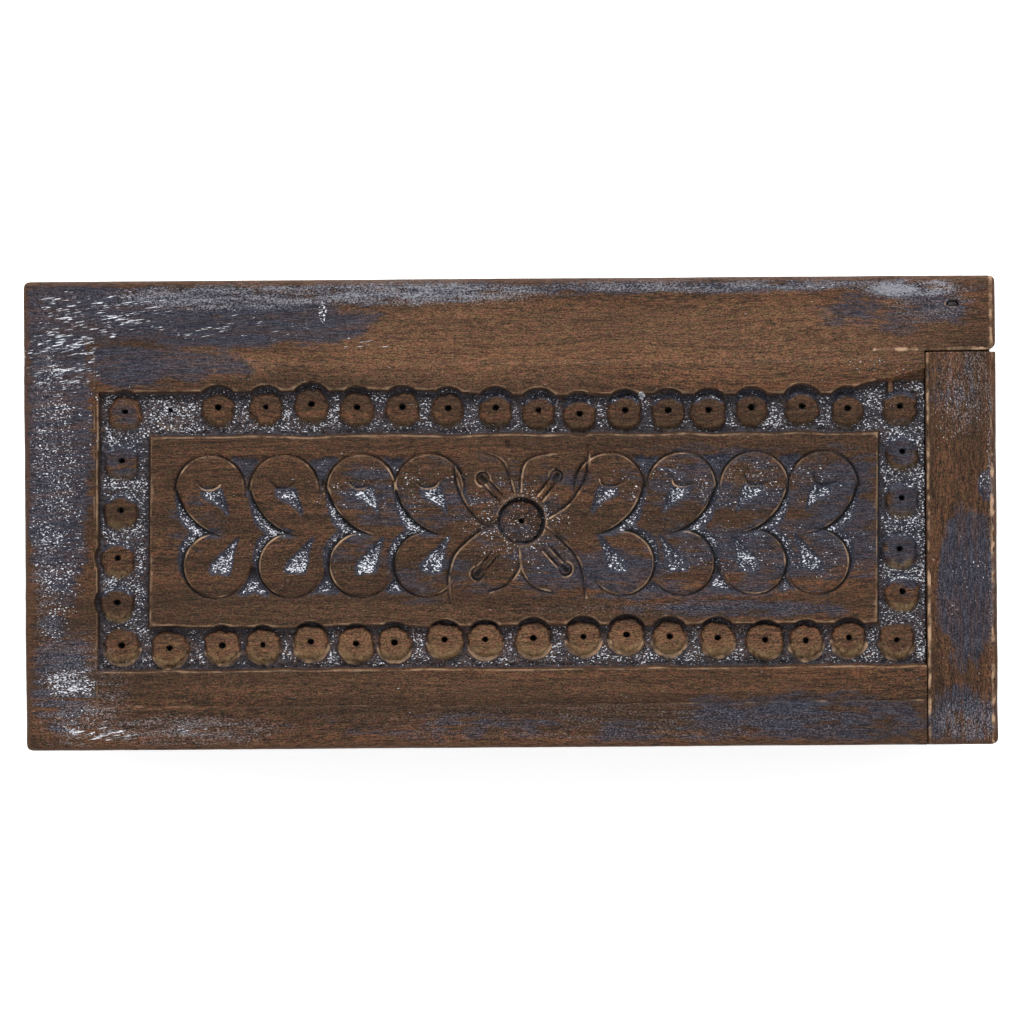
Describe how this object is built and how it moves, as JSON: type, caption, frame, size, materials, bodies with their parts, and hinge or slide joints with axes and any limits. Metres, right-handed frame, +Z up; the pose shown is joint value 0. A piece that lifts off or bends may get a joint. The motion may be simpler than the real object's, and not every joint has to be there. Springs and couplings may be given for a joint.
{
  "type": "wooden puzzle box",
  "caption": "Carved wooden trick box: the end key slides out a little, then the L-shaped lid swings sideways on a hidden corner nail to open.",
  "frame": {"origin": "centre of the underside of the shut box, on the surface it stands on", "axes": "+X along the length towards the sliding end key, +Y towards the back edge that holds the pivot nail, +Z up through the carved lid"},
  "size_m": [0.203, 0.098, 0.064],
  "materials": {
    "carved_wood": "worn dark brown hardwood with slate-blue stain and traces of white paint",
    "key_wood": "worn dark brown hardwood with a thin slate-blue stain",
    "case_wood": "worn dark brown hardwood, stained outside and bare inside",
    "dovetail_wood": "bare planed hardwood, rubbed smooth by sliding",
    "steel_brads": "dull drawn steel with a little rust",
    "pivot_steel": "dark drawn steel"
  },
  "bodies": {
    "box_body": {"bottom_board": "case_wood", "front_wall": "case_wood", "back_wall": "case_wood", "left_wall": "case_wood", "right_wall": "case_wood", "bottom_brads": "steel_brads", "pivot_nail": "pivot_steel", "key_stop_pin": "steel_brads"},
    "lid": {"lid_board": "carved_wood"},
    "key": {"end_key": "key_wood", "key_dovetail": "dovetail_wood", "key_brads": "steel_brads"}
  },
  "joints": [
    {"name": "lid_swing", "type": "hinge", "parent": "box_body", "child": "lid", "pos_m": [0.0926, 0.0431, 0.058], "axis": [0, 0, -1], "range_deg": [0, 110]},
    {"name": "key_slide", "type": "slide", "parent": "box_body", "child": "key", "axis": [0, -1, 0], "range_m": [0, 0.012]}
  ],
  "couplings": [
    {"joint": "key_slide", "follows": "lid_swing", "m_per_rad": 0.00625}
  ]
}
